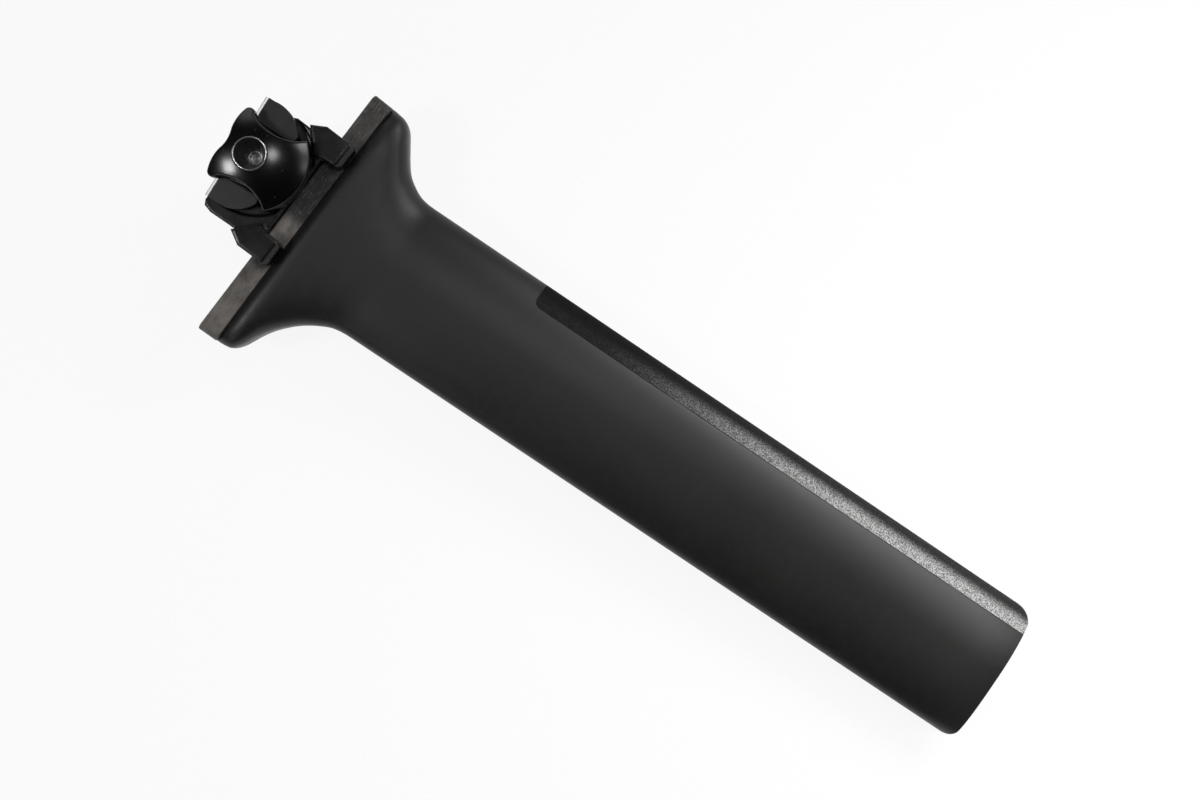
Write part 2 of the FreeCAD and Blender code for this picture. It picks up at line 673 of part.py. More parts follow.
def main():
    """Builds every sub-part, lays them down as they rest, checks them and writes one file for each."""
    doc = FreeCAD.newDocument("Seatpost")
    sizes = write_sheet(doc)
    post = build_post(doc, sizes)
    carriage = build_carriage(doc, sizes)
    cradle = build_cradle(doc, sizes)
    jaw = build_jaw(doc, sizes)
    bolt = build_bolt(doc, sizes)
    nut = build_nut(doc, sizes)
    twins = [mirror_left(doc, carriage, "carriage_left"), mirror_left(doc, cradle, "cradle_left"),
             mirror_left(doc, jaw, "outer_clamp_left")]
    own_frames = {post: Placement(), carriage: rail_frame(sizes), cradle: bolt_frame(sizes),
                  jaw: bolt_frame(sizes), bolt: bolt_frame(sizes), nut: bolt_frame(sizes)}
    parts = [*own_frames, *twins]
    rest = lying(sizes)
    for _ in range(2):
        for part, frame in own_frames.items():
            part.Placement = rest * frame
        for twin in twins:
            twin.Base = rest.Base
            twin.Normal = rest.Rotation.multVec(Vector(0, 1, 0))
        doc.recompute()
        box = Part.makeCompound([part.Shape for part in parts]).optimalBoundingBox(False)
        rest.Base = rest.Base - Vector(box.Center.x, box.Center.y, box.ZMin)
    check(doc, parts)
    os.makedirs("parts", exist_ok=True)
    for part in parts:
        part.Shape.exportStep(f"parts/{part.Label}.step")
        print(part.Label, round(part.Shape.Volume), len(part.Shape.Faces))


main()
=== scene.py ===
"""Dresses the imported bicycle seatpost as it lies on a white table, seen from straight above."""

import json
import logging
import math
from dataclasses import dataclass, replace
from enum import Enum
from typing import Iterable, Optional, Sequence, Union

import bmesh
import bpy
from mathutils import Matrix, Vector

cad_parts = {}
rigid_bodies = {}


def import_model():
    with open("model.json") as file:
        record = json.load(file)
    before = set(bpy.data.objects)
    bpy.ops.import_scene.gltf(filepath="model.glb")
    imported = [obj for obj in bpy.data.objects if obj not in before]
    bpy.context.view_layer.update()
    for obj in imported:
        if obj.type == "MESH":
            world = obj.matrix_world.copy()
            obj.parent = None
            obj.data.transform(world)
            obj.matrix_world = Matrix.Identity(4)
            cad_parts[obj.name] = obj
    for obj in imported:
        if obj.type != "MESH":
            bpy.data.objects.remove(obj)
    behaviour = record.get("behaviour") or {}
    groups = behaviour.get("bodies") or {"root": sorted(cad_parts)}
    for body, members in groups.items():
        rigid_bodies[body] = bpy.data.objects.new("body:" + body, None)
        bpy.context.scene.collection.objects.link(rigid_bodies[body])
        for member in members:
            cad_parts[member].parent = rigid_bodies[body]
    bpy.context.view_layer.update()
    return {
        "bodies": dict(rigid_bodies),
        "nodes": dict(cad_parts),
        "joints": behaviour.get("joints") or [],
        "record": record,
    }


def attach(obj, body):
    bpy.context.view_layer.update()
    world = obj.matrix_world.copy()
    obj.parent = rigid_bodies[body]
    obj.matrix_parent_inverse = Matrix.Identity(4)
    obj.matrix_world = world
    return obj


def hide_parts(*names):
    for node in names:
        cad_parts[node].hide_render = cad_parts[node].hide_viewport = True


LOG = logging.getLogger("seatpost")
Object = bpy.types.Object
Material = bpy.types.Material
Socket = bpy.types.NodeSocket
Value = Union[Socket, float]
Colour = tuple[float, float, float, float]
Pair = tuple[float, float]

MM = 0.001
BLADE_REACH = 344.0    # from the rail's top to the blade's cut end, in millimetres
BOLT_AHEAD = 2.4       # the cross bolt ahead of the rail frame's origin, in millimetres
BOLT_HEIGHT = 20.4     # the cross bolt above the rail, in millimetres


@dataclass(frozen=True)
class Space:
    """One of the part's own frames, placed in the row's frame. Its lengths are millimetres."""

    origin: Vector
    forward: Vector
    left: Vector
    up: Vector

    def point(self, x: float, y: float, z: float) -> Vector:
        """The row's place, in metres, of a point of this frame."""
        return self.origin + (self.forward * x + self.left * y + self.up * z) * MM

    def matrix(self) -> Matrix:
        """The turn and shift from this frame, in metres, to the row's frame."""
        turn = Matrix((self.forward, self.left, self.up)).transposed()
        return Matrix.Translation(self.origin) @ turn.to_4x4()


@dataclass(frozen=True)
class Spaces:
    """The blade's frame, the rail's frame and the cross bolt's frame."""

    blade: Space
    rail: Space
    bolt: Space

    @classmethod
    def from_frame(cls, frame: dict) -> "Spaces":
        """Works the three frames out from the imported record's joints and mounts.


        Returns:
            The three frames.
        """
        record = frame["record"]
        joints = {joint["name"]: joint for joint in record["behaviour"]["joints"]}
        mounts = {mount["name"]: mount for mount in record["mounts"]}
        left = -Vector(joints["saddle_tilt"]["axis"]).normalized()
        end = mounts["blade_end"]
        blade_up = -Vector(end["axis"]).normalized()
        blade_origin = Vector(end["pos_m"]) + blade_up * BLADE_REACH * MM
        blade = Space(blade_origin, left.cross(blade_up), left, blade_up)
        along_rail = Vector(joints["carriage_slide"]["axis"]).normalized()
        rail_up = along_rail.cross(left)
        bolt_place = Vector(joints["saddle_tilt"]["pos_m"])
        rail_origin = bolt_place - (along_rail * BOLT_AHEAD + rail_up * BOLT_HEIGHT) * MM
        rail = Space(rail_origin, along_rail, left, rail_up)
        along_saddle = Vector(mounts["saddle_rail_right"]["axis"]).normalized()
        bolt = Space(bolt_place, along_saddle, left, along_saddle.cross(left))
        return cls(blade, rail, bolt)


class Painter:
    """Builds one node material from short steps. Most steps return an output socket."""

    def __init__(self, name: str) -> None:
        """Starts an empty material."""
        self.material = bpy.data.materials.new(name)
        self.material.use_nodes = True
        self.tree = self.material.node_tree
        self.tree.nodes.clear()
        self.output = self.tree.nodes.new("ShaderNodeOutputMaterial")

    def node(self, kind: str, inputs: Optional[dict] = None, **settings) -> bpy.types.Node:
        """Adds a node.

        Args:
            kind: Its type without ShaderNode before it.
            inputs: The socket to link, or the value to set, for the inputs by name or number.
            settings: Its own properties.

        Returns:
            The node.
        """
        node = self.tree.nodes.new("ShaderNode" + kind)
        for key, value in settings.items():
            setattr(node, key, value)
        for key, value in (inputs or {}).items():
            if isinstance(value, Socket):
                self.tree.links.new(value, node.inputs[key])
            else:
                node.inputs[key].default_value = value
        return node

    def math(self, operation: str, first: Value, second: Value = 0.0) -> Socket:
        """One arithmetic step."""
        return self.node("Math", {0: first, 1: second}, operation=operation).outputs[0]

    def ramp(self, value: Value, low: float, high: float, start: float = 0.0,
             end: float = 1.0) -> Socket:
        """A smooth step from start to end, while the value goes from low to high."""
        inputs = {"Value": value, "From Min": low, "From Max": high, "To Min": start, "To Max": end}
        return self.node("MapRange", inputs, interpolation_type="SMOOTHSTEP").outputs[0]

    def zone(self, place: Socket, ends: Pair, start: float = 0.0, end: float = 1.0) -> Socket:
        """A smooth step between two places in millimetres."""
        return self.ramp(place, ends[0] * MM, ends[1] * MM, start, end)

    def mix(self, factor: Value, first: Union[Socket, Colour],
            second: Union[Socket, Colour]) -> Socket:
        """Blends two colours."""
        node = self.node("Mix", {"Factor": factor, 6: first, 7: second}, data_type="RGBA")
        return node.outputs[2]

    def place(self, space: Space) -> Socket:
        """The shaded point in a frame of the part, in metres."""
        turn = space.matrix()
        inputs = {"Vector": self.node("TexCoord").outputs["Object"], "Location": turn.translation,
                  "Rotation": turn.to_euler()}
        return self.node("Mapping", inputs, vector_type="TEXTURE").outputs[0]

    def axes(self, vector: Socket) -> tuple[Socket, Socket, Socket]:
        """The three numbers of a vector."""
        node = self.node("SeparateXYZ", {0: vector})
        return node.outputs[0], node.outputs[1], node.outputs[2]

    def stretch(self, vector: Socket, x: float, y: float, z: float) -> Socket:
        """Scales a place by three factors."""
        return self.node("VectorMath", {0: vector, 1: (x, y, z)}, operation="MULTIPLY").outputs[0]

    def radius(self, first: Socket, second: Socket) -> Socket:
        """The distance from the origin in the plane of two axes."""
        squares = [self.math("MULTIPLY", axis, axis) for axis in (first, second)]
        return self.math("SQRT", self.math("ADD", *squares))

    def speckle(self, vector: Socket, scale: float) -> Socket:
        """The distance to the nearest of many scattered points, for grains and pits."""
        return self.node("TexVoronoi", {"Vector": vector, "Scale": scale}).outputs["Distance"]

    def noise(self, vector: Socket, scale: float, detail: float = 3.0,
              roughness: float = 0.55) -> Socket:
        """Cloudy noise between 0 and 1."""
        inputs = {"Vector": vector, "Scale": scale, "Detail": detail, "Roughness": roughness}
        return self.node("TexNoise", inputs).outputs["Fac"]

    def bump(self, height: Socket, distance: float, strength: Value = 1.0,
             normal: Optional[Socket] = None) -> Socket:
        """The normal over a relief between 0 and 1, its full height in millimetres."""
        inputs = {"Height": height, "Distance": distance * MM, "Strength": strength}
        return self.node("Bump", inputs | ({} if normal is None else {"Normal": normal})).outputs[0]

    def eased(self, radius: float) -> Socket:
        """The surface's normal with its edges eased over a radius in millimetres."""
        return self.node("Bevel", {"Radius": radius * MM}, samples=8).outputs[0]

    def finish(self, **inputs: Union[Value, Colour]) -> Material:
        """Ends the material in a Principled shader with these inputs."""
        names = {key.replace("_", " "): value for key, value in inputs.items()}
        shader = self.node("BsdfPrincipled", names)
        self.tree.links.new(shader.outputs[0], self.output.inputs["Surface"])
        return self.material


def grey(level: float, warm: float = 0.0, blue: float = 0.0) -> Colour:
    """A linear grey with a little warmth or blue in it."""
    return (level * (1 + warm), level, level * (1 - warm + blue), 1.0)


@dataclass(frozen=True)
class Stripe:
    """Where the grit stripe lies on the blade, in millimetres of the blade's frame."""

    start: float = 101.0
    back: float = 21.2
    corner: float = 3.0
    blur: float = 0.1
    line: Pair = (0.28, 0.12)

    def distance(self, paint: Painter, x: Socket, z: Socket) -> Socket:
        """How far a place lies outside the stripe's rounded border.

        Args:
            paint: The material that is being built.
            x: The place ahead of the blade's middle, in metres.
            z: The place above the rail's top, in metres.

        Returns:
            The distance in metres, negative inside.
        """
        corner = self.corner * MM
        past_side = paint.math("SUBTRACT", self.back * MM + corner, x)
        past_start = paint.math("ADD", z, self.start * MM + corner)
        reach = paint.radius(paint.math("MAXIMUM", past_side, 0.0),
                             paint.math("MAXIMUM", past_start, 0.0))
        return paint.math("SUBTRACT", reach, corner)

    def mask(self, paint: Painter, x: Socket, z: Socket) -> Socket:
        """1 inside the stripe and 0 outside, with rounded corners at its start."""
        return paint.zone(self.distance(paint, x, z), (self.blur, -self.blur))

    def border(self, paint: Painter, x: Socket, z: Socket) -> Socket:
        """1 on the thin dark line where the grit ends."""
        return paint.zone(paint.math("ABSOLUTE", self.distance(paint, x, z)), self.line)

    def holds(self, x: float, z: float, inset: float) -> bool:
        """True for a place, in millimetres, well inside the stripe."""
        past_side = max(self.back + self.corner - x, 0.0)
        past_start = max(z + self.start + self.corner, 0.0)
        return math.hypot(past_side, past_start) < self.corner - inset


@dataclass(frozen=True)
class PostPaint:
    """Satin dark grey paint on the carbon post, with the ground of the grit stripe.

    The two pairs of lengths down and across, in millimetres of the blade's frame, are where the
    painted pool of light on the grit begins and is full down the blade, and is full and ends
    across it.
    """

    spaces: Spaces
    stripe: Stripe = Stripe()
    satin_dark: float = 0.006
    satin_light: float = 0.0085
    satin_mottled: float = 0.012
    grit_dark: float = 0.005
    grit_painted_light_grey: float = 0.56
    border_dark: float = 0.004
    satin_rough: Pair = (0.40, 0.46)
    grit_rough: float = 0.8
    shine: float = 0.42
    grit_dulling: float = 0.3
    painted_light_down: Pair = (-126.0, -266.0)
    painted_light_across: Pair = (23.8, 28.6)

    def material(self) -> Material:
        """Builds the paint."""
        paint = Painter("post_paint")
        where = paint.place(self.spaces.blade)
        x, _, z = paint.axes(where)
        stripe = self.stripe.mask(paint, x, z)
        mottle = paint.noise(where, 380.0, 4.0, 0.7)
        colour = paint.mix(stripe, self.satin(paint, where, mottle), self.grit(paint, where))
        colour = paint.mix(self.stripe.border(paint, x, z), colour, grey(self.border_dark))
        rough = paint.mix(stripe, paint.ramp(mottle, 0.3, 0.7, *self.satin_rough),
                          grey(self.grit_rough))
        shine = paint.math("SUBTRACT", self.shine,
                           paint.math("MULTIPLY", stripe, self.grit_dulling))
        return paint.finish(Base_Color=colour, Roughness=rough, Specular_IOR_Level=shine,
                            Normal=self.relief(paint, where, stripe))

    def satin(self, paint: Painter, where: Socket, mottle: Socket) -> Socket:
        """The colour of the bare paint, in broad soft clouds with a fine mottle."""
        cloud = paint.noise(where, 22.0, 3.0)
        satin = paint.mix(paint.ramp(cloud, 0.3, 0.7), grey(self.satin_dark, 0.02),
                          grey(self.satin_light, 0.04))
        return paint.mix(paint.ramp(mottle, 0.45, 0.75, 0.0, 0.3), satin,
                         grey(self.satin_mottled, 0.04))

    def grit(self, paint: Painter, where: Socket) -> Socket:
        """The colour of the ground between the stripe's grains, pale in spots under painted light.
        """
        dots = paint.ramp(paint.speckle(where, 2300.0), 0.85, 0.35, 0.35, 1.0)
        # Painted highlight: the ground's pale spots follow the painted light on the grit.
        pale = paint.math("MULTIPLY", self.dust_and_painted_light(paint, where), dots)
        return paint.mix(pale, grey(self.grit_dark), grey(self.grit_painted_light_grey, 0.01))

    def relief(self, paint: Painter, where: Socket, stripe: Socket) -> Socket:
        """The paint's fine grain, with the stripe's coarse ground standing a little over it."""
        soft = paint.bump(paint.noise(where, 3600.0, 2.0), 0.03, 0.2)
        coarse = paint.bump(paint.noise(where, 1700.0, 3.0, 0.75), 0.3,
                            paint.math("MULTIPLY", stripe, 0.8), soft)
        return paint.bump(stripe, 0.12, 0.8, coarse)

    def dust_and_painted_light(self, paint: Painter, where: Socket) -> Socket:
        """How much painted light falls on the grit: none at the start, most along its rear side
        near the cut.

        Args:
            paint: The material that is being built.
            where: The shaded point in the blade's frame.

        Returns:
            0 for dark grit, 1 for the palest.
        """
        x, _, z = paint.axes(where)
        # Painted pool of light: paler down the blade toward the cut and toward the stripe's rear
        # side.
        down = paint.zone(z, self.painted_light_down, 0.03, 1.0)
        across = paint.zone(x, self.painted_light_across, 1.0, 0.05)
        cloud = paint.ramp(paint.noise(where, 420.0, 3.0, 0.6), 0.25, 0.6, 0.75, 1.0)
        specks = paint.ramp(paint.noise(where, 1700.0, 2.0, 0.6), 0.36, 0.6, 0.3, 1.0)
        return paint.math("MULTIPLY", paint.math("MULTIPLY", down, across),
                          paint.math("MULTIPLY", cloud, specks))


@dataclass(frozen=True)
class GritGrain:
    """The hard grains that stand out of the stripe, dark at its start and pale where painted light
    falls.
    """

    spaces: Spaces
    paint: PostPaint
    dark: float = 0.004
    pale: Pair = (0.3, 0.75)
    rough: Pair = (0.6, 0.8)
    shine: float = 0.15

    def material(self) -> Material:
        """Builds the grains' finish."""
        grain = Painter("grit_grain")
        where = grain.place(self.spaces.blade)
        shade = grain.noise(where, 900.0, 2.0)
        pale = grain.mix(grain.ramp(shade, 0.35, 0.65), grey(self.pale[0], 0.01),
                         grey(self.pale[1], 0.01))
        # Painted highlight: the grains turn pale under the painted light on the grit.
        colour = grain.mix(self.paint.dust_and_painted_light(grain, where), grey(self.dark), pale)
        return grain.finish(Base_Color=colour, Roughness=grain.ramp(shade, 0.3, 0.7, *self.rough),
                            Normal=grain.bump(shade, 0.04, 0.4), Specular_IOR_Level=self.shine)


@dataclass(frozen=True)
class WornRail:
    """Bare carbon on the dovetail rail, worn and scratched by the clamp, with painted light and
    shade on it.

    The pairs of lengths, ahead of the rail frame's origin, are where the pale places behind,
    beside and ahead of the clamp begin or end. The pale is partly wear and partly painted light,
    and the dark left between the legs is painted shade under the clamp.
    """

    spaces: Spaces
    unworn_and_shaded_grey: float = 0.012
    worn_and_lit_grey: float = 0.2
    streak_grey: float = 0.14
    fleck_grey: float = 0.26
    edge_grey: float = 0.09
    scratch_grey: float = 0.3
    rough: Pair = (0.62, 0.45)
    behind: Pair = (-24.0, -34.0)
    beside_front: Pair = (-5.0, -11.0)
    beside_rear: Pair = (-22.0, -17.0)
    ahead: Pair = (22.0, 30.0)
    edge: Pair = (-0.9, -0.1)

    def material(self) -> Material:
        """Builds the worn carbon."""
        bare = Painter("worn_carbon")
        where = bare.place(self.spaces.rail)
        x, _, z = bare.axes(where)
        streaks = bare.noise(bare.stretch(where, 0.16, 1.0, 1.0), 1900.0, 4.0, 0.7)
        patches = bare.noise(bare.stretch(where, 0.55, 1.0, 1.0), 120.0, 4.0, 0.65)
        flecks = bare.noise(bare.stretch(where, 0.45, 1.0, 1.0), 1300.0, 3.0, 0.8)
        # Wear and painted light: pale behind the clamp and beside its rear leg, and dark between
        # the legs as painted shade under the clamp.
        wear_and_painted_light = bare.math("MULTIPLY", self.wear_and_painted_light(bare, x),
                           bare.ramp(patches, 0.34, 0.66, 0.35, 1.0))
        edge = bare.math("MULTIPLY", bare.zone(z, self.edge), 0.5)
        scratches = bare.math("MULTIPLY", self.scratches(bare, where), 0.5)
        colour = bare.mix(wear_and_painted_light, grey(self.unworn_and_shaded_grey, 0.05), grey(self.worn_and_lit_grey, 0.09))
        colour = bare.mix(bare.ramp(streaks, 0.52, 0.74, 0.0, 0.3), colour,
                          grey(self.streak_grey, 0.08))
        colour = bare.mix(bare.ramp(flecks, 0.6, 0.72, 0.0, 0.55), colour,
                          grey(self.fleck_grey, 0.05))
        colour = bare.mix(edge, colour, grey(self.edge_grey, 0.05))
        colour = bare.mix(scratches, colour, grey(self.scratch_grey, 0.03))
        height = bare.math("ADD", bare.math("MULTIPLY", streaks, 0.5),
                           bare.math("MULTIPLY", flecks, 0.6))
        return bare.finish(Base_Color=colour, Roughness=bare.ramp(patches, 0.3, 0.7, *self.rough),
                           Normal=bare.bump(height, 0.2, 0.7))

    def wear_and_painted_light(self, bare: Painter, x: Socket) -> Socket:
        """How pale the rail is, partly from wear and partly from painted light and shade.

        Args:
            bare: The material that is being built.
            x: The place along the rail, in metres.

        Returns:
            Most behind the clamp and beside its rear leg, partly wear and partly painted light;
            none between the legs, where the dark is painted shade under the clamp; less in front.
        """
        behind = bare.zone(x, self.behind, 0.0, 0.85)
        # Painted light: a pale patch beside the rear leg where light reaches the rail; toward the
        # front leg it stays dark as painted shade.
        beside = bare.math("MULTIPLY", bare.zone(x, self.beside_front, 0.0, 1.3),
                           bare.zone(x, self.beside_rear))
        ahead = bare.zone(x, self.ahead, 0.0, 0.22)
        return bare.math("MAXIMUM", bare.math("MAXIMUM", behind, beside), ahead)

    def scratches(self, bare: Painter, where: Socket) -> Socket:
        """Fine curved scratches from fitting and sliding the clamp.

        Args:
            bare: The material that is being built.
            where: The shaded point in the rail's frame.

        Returns:
            1 in a scratch, 0 beside it.
        """
        large = bare.stretch(where, 900.0, 900.0, 900.0)
        wander = bare.node("TexNoise", {"Vector": large, "Scale": 0.16, "Detail": 2.0})
        bent = bare.node("VectorMath", {0: large, 1: wander.outputs["Color"]}, operation="ADD")
        waves = bare.node("TexWave", {"Vector": bent.outputs[0], "Scale": 0.33, "Distortion": 9.0,
                                      "Detail": 1.0}, wave_type="BANDS", bands_direction="Z")
        gate = bare.ramp(bare.noise(where, 300.0, 1.0), 0.5, 0.6)
        return bare.math("MULTIPLY", bare.ramp(waves.outputs["Fac"], 0.965, 0.995), gate)


@dataclass(frozen=True)
class CoatedMetal:
    """A coated clamp piece, matte or glossy. Its grain and its eased edges are millimetres."""

    name: str
    level: float
    blue: float
    roughness: float
    grain: float
    ease: float
    dust_grey: float = 0.09

    def material(self, space: Space) -> Material:
        """Builds the coat in a frame that its pieces share."""
        coat = Painter(self.name)
        where = coat.place(space)
        cloud = coat.noise(where, 90.0, 3.0)
        fine = coat.noise(where, 3000.0, 2.0)
        dust_and_painted_light = coat.math("MULTIPLY", coat.ramp(coat.speckle(where, 260.0), 0.09, 0.05), 0.35)
        colour = coat.mix(cloud, grey(self.level * 0.8, 0, self.blue),
                          grey(self.level * 1.2, 0, self.blue))
        colour = coat.mix(dust_and_painted_light, colour, grey(self.dust_grey))
        rough = coat.ramp(cloud, 0.3, 0.7, self.roughness * 0.88, self.roughness * 1.12)
        normal = coat.bump(fine, self.grain, 0.4, coat.eased(self.ease))
        return coat.finish(Base_Color=colour, Roughness=rough, Normal=normal)


@dataclass(frozen=True)
class CradleCoat:
    """Matte coat on a cradle, rubbed through to bright metal where it holds the saddle's rails."""

    rail_side: float = 22.0
    rail_height: float = 10.7
    worn_radius: Pair = (3.62, 3.52)
    worn_ragged: float = 0.25
    matte_grey: Pair = (0.005, 0.008)
    grain_grey: float = 0.018
    bright_grey: Pair = (0.72, 0.92)
    matte_rough: Pair = (0.38, 0.46)
    bright_rough: Pair = (0.2, 0.34)

    def material(self, space: Space) -> Material:
        """Builds the coat in the bolt's frame."""
        coat = Painter("cradle_coat")
        where = coat.place(space)
        groove = self.groove(coat, where)
        cloud = coat.noise(where, 160.0, 3.0)
        grain = coat.noise(where, 2600.0, 3.0, 0.7)
        matte = coat.mix(coat.ramp(cloud, 0.3, 0.7), grey(self.matte_grey[0], 0, 0.04),
                         grey(self.matte_grey[1], 0, 0.04))
        matte = coat.mix(coat.ramp(grain, 0.5, 0.75, 0.0, 0.35), matte, grey(self.grain_grey))
        brushed = coat.noise(coat.stretch(where, 0.05, 1.0, 1.0), 3000.0, 2.0)
        bright = coat.mix(brushed, grey(self.bright_grey[0]), grey(self.bright_grey[1]))
        rough = coat.mix(groove, coat.ramp(cloud, 0.3, 0.7, *self.matte_rough),
                         coat.ramp(brushed, 0.3, 0.7, *self.bright_rough))
        return coat.finish(Base_Color=coat.mix(groove, matte, bright), Metallic=groove,
                           Roughness=rough, Normal=coat.bump(grain, 0.06, 0.5))

    def groove(self, coat: Painter, where: Socket) -> Socket:
        """1 in the bare grooves and 0 on the coat, with a slightly ragged border.

        Args:
            coat: The material that is being built.
            where: The shaded point in the bolt's frame.

        Returns:
            The mask.
        """
        _, y, z = coat.axes(where)
        side = coat.math("SUBTRACT", coat.math("ABSOLUTE", y), self.rail_side * MM)
        above = coat.math("SUBTRACT", z, self.rail_height * MM)
        ragged = coat.math("MULTIPLY", coat.noise(where, 700.0, 3.0), self.worn_ragged * MM)
        from_rail = coat.math("SUBTRACT", coat.radius(side, above), ragged)
        return coat.zone(from_rail, self.worn_radius)


@dataclass(frozen=True)
class TurnedBolt:
    """Blackened turned steel: rings left by the tool in the funnel, and a bare bright rim.

    rim_side is how far, in millimetres, the rim lies from the part's mid-plane.
    """

    rim_radius: Pair = (6.1, 6.25)
    rim_side: Pair = (31.2, 31.45)
    ring_pitch: float = 0.34
    socket_radius: Pair = (2.6, 2.3)
    dark_grey: Pair = (0.14, 0.34)
    socket_grey: float = 0.3
    rim_grey: float = 0.55
    dark_rough: Pair = (0.26, 0.4)
    rim_rough: float = 0.24

    def material(self, space: Space) -> Material:
        """Builds the steel in the bolt's frame."""
        steel = Painter("bolt_finish")
        x, y, z = steel.axes(steel.place(space))
        radius = steel.radius(x, z)
        phase = steel.math("MULTIPLY", radius, 2 * math.pi / (self.ring_pitch * MM))
        rings = steel.ramp(steel.math("SINE", phase), -1.0, 1.0)
        fine = steel.noise(steel.node("CombineXYZ", {0: radius}).outputs[0], 9000.0, 3.0)
        rim = steel.math("MULTIPLY", steel.zone(radius, self.rim_radius),
                         steel.zone(steel.math("ABSOLUTE", y), self.rim_side))
        socket = steel.zone(radius, self.socket_radius)
        dark = steel.mix(fine, grey(self.dark_grey[0], 0, 0.05), grey(self.dark_grey[1], 0, 0.05))
        colour = steel.mix(socket, dark, grey(self.socket_grey, 0.02))
        colour = steel.mix(rim, colour, grey(self.rim_grey))
        height = steel.math("ADD", steel.math("MULTIPLY", rings, 0.7),
                            steel.math("MULTIPLY", fine, 0.6))
        rough = steel.mix(rim, steel.ramp(fine, 0.3, 0.7, *self.dark_rough), grey(self.rim_rough))
        return steel.finish(Base_Color=colour, Metallic=1.0, Roughness=rough,
                            Normal=steel.bump(height, 0.03, 0.9))


def add_object(name: str, data: bpy.types.ID) -> Object:
    """Adds an object with this data to the scene, at the origin."""
    piece = bpy.data.objects.new(name, data)
    bpy.context.scene.collection.objects.link(piece)
    return piece


def to_object(mesh: bmesh.types.BMesh, name: str) -> Object:
    """Turns a mesh, which is used up, into an object of the scene.

    Args:
        mesh: The finished mesh.
        name: The object's name.

    Returns:
        The object.
    """
    data = bpy.data.meshes.new(name)
    mesh.to_mesh(data)
    mesh.free()
    return add_object(name, data)


@dataclass(frozen=True)
class Lamp:
    """A square soft box: right of, ahead of and above the middle of the picture, in metres.

    Its spread is in degrees, and aim_right and aim_ahead are how far beside the middle of
    the picture it points.
    """

    name: str
    right: float
    ahead: float
    height: float
    size: float
    watts: float
    spread_deg: float = 180.0
    aim_right: float = 0.0
    aim_ahead: float = 0.0


